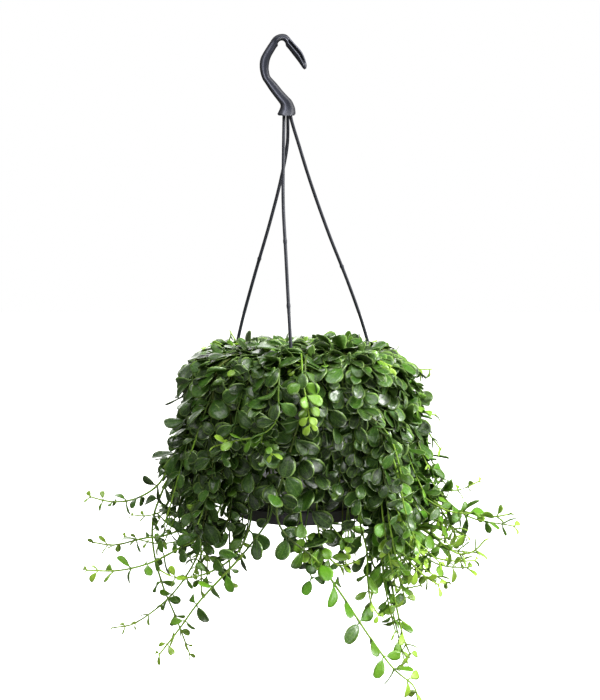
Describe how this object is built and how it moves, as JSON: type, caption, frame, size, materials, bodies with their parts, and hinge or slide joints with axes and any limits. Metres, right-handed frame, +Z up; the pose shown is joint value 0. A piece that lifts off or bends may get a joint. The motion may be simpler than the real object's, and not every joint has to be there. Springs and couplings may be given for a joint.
{
  "type": "potted kalanchoe manginii in a hanging pot",
  "caption": "Trailing kalanchoe in a round plastic hanging pot with a clip-on saucer, held by slender arms under one hook.",
  "frame": {"origin": "inner top of the hook, where the pot hangs from a rail or a ring", "axes": "+Z up; +X to the right and -Y towards the viewer, with the hook's opening in the XZ plane"},
  "size_m": [0.3831, 0.2669, 0.5735],
  "materials": {
    "hanger_plastic": "satin moulded plastic, blue-grey",
    "pot_plastic": "satin moulded plastic, near black",
    "soil": "loose moist peat compost, matt",
    "foliage": "fleshy leaves with a satin waxy shine",
    "young_foliage": "young fleshy leaves, paler and yellower, waxy shine"
  },
  "bodies": {
    "root": {"hook": "hanger_plastic", "hanger_arm_front": "hanger_plastic", "hanger_arm_right": "hanger_plastic", "hanger_arm_left": "hanger_plastic", "pot": "pot_plastic", "saucer": "pot_plastic", "soil": "soil", "stem_back_1": "foliage", "stem_back_2": "foliage", "stem_back_3": "foliage", "stem_back_4": "foliage", "stem_back_5": "foliage", "stem_crown_1": "young_foliage", "stem_crown_2": "young_foliage", "stem_crown_3": "young_foliage", "stem_crown_4": "young_foliage", "stem_crown_5": "young_foliage", "stem_curtain_1": "foliage", "stem_curtain_2": "foliage", "stem_curtain_3": "foliage", "stem_curtain_4": "foliage", "stem_curtain_5": "foliage", "stem_curtain_6": "foliage", "stem_curtain_7": "foliage", "stem_curtain_8": "foliage", "stem_curtain_9": "foliage", "stem_curtain_10": "foliage", "stem_curtain_11": "foliage", "stem_curtain_12": "foliage", "stem_curtain_13": "foliage", "stem_curtain_14": "foliage", "stem_curtain_15": "foliage", "stem_curtain_16": "foliage", "stem_front_1": "foliage", "stem_front_2": "foliage", "stem_front_3": "foliage", "stem_front_4": "foliage", "stem_left_1": "foliage", "stem_left_2": "foliage", "stem_left_3": "young_foliage", "stem_left_4": "foliage", "stem_left_5": "young_foliage", "stem_left_6": "foliage", "stem_left_7": "young_foliage", "stem_left_8": "foliage", "stem_left_9": "foliage", "stem_right_1": "young_foliage", "stem_right_2": "foliage", "stem_right_3": "foliage", "stem_right_4": "foliage", "stem_right_5": "foliage", "stem_right_6": "foliage", "stem_right_7": "foliage", "stem_right_8": "young_foliage", "stem_right_9": "foliage"}
  },
  "joints": []
}
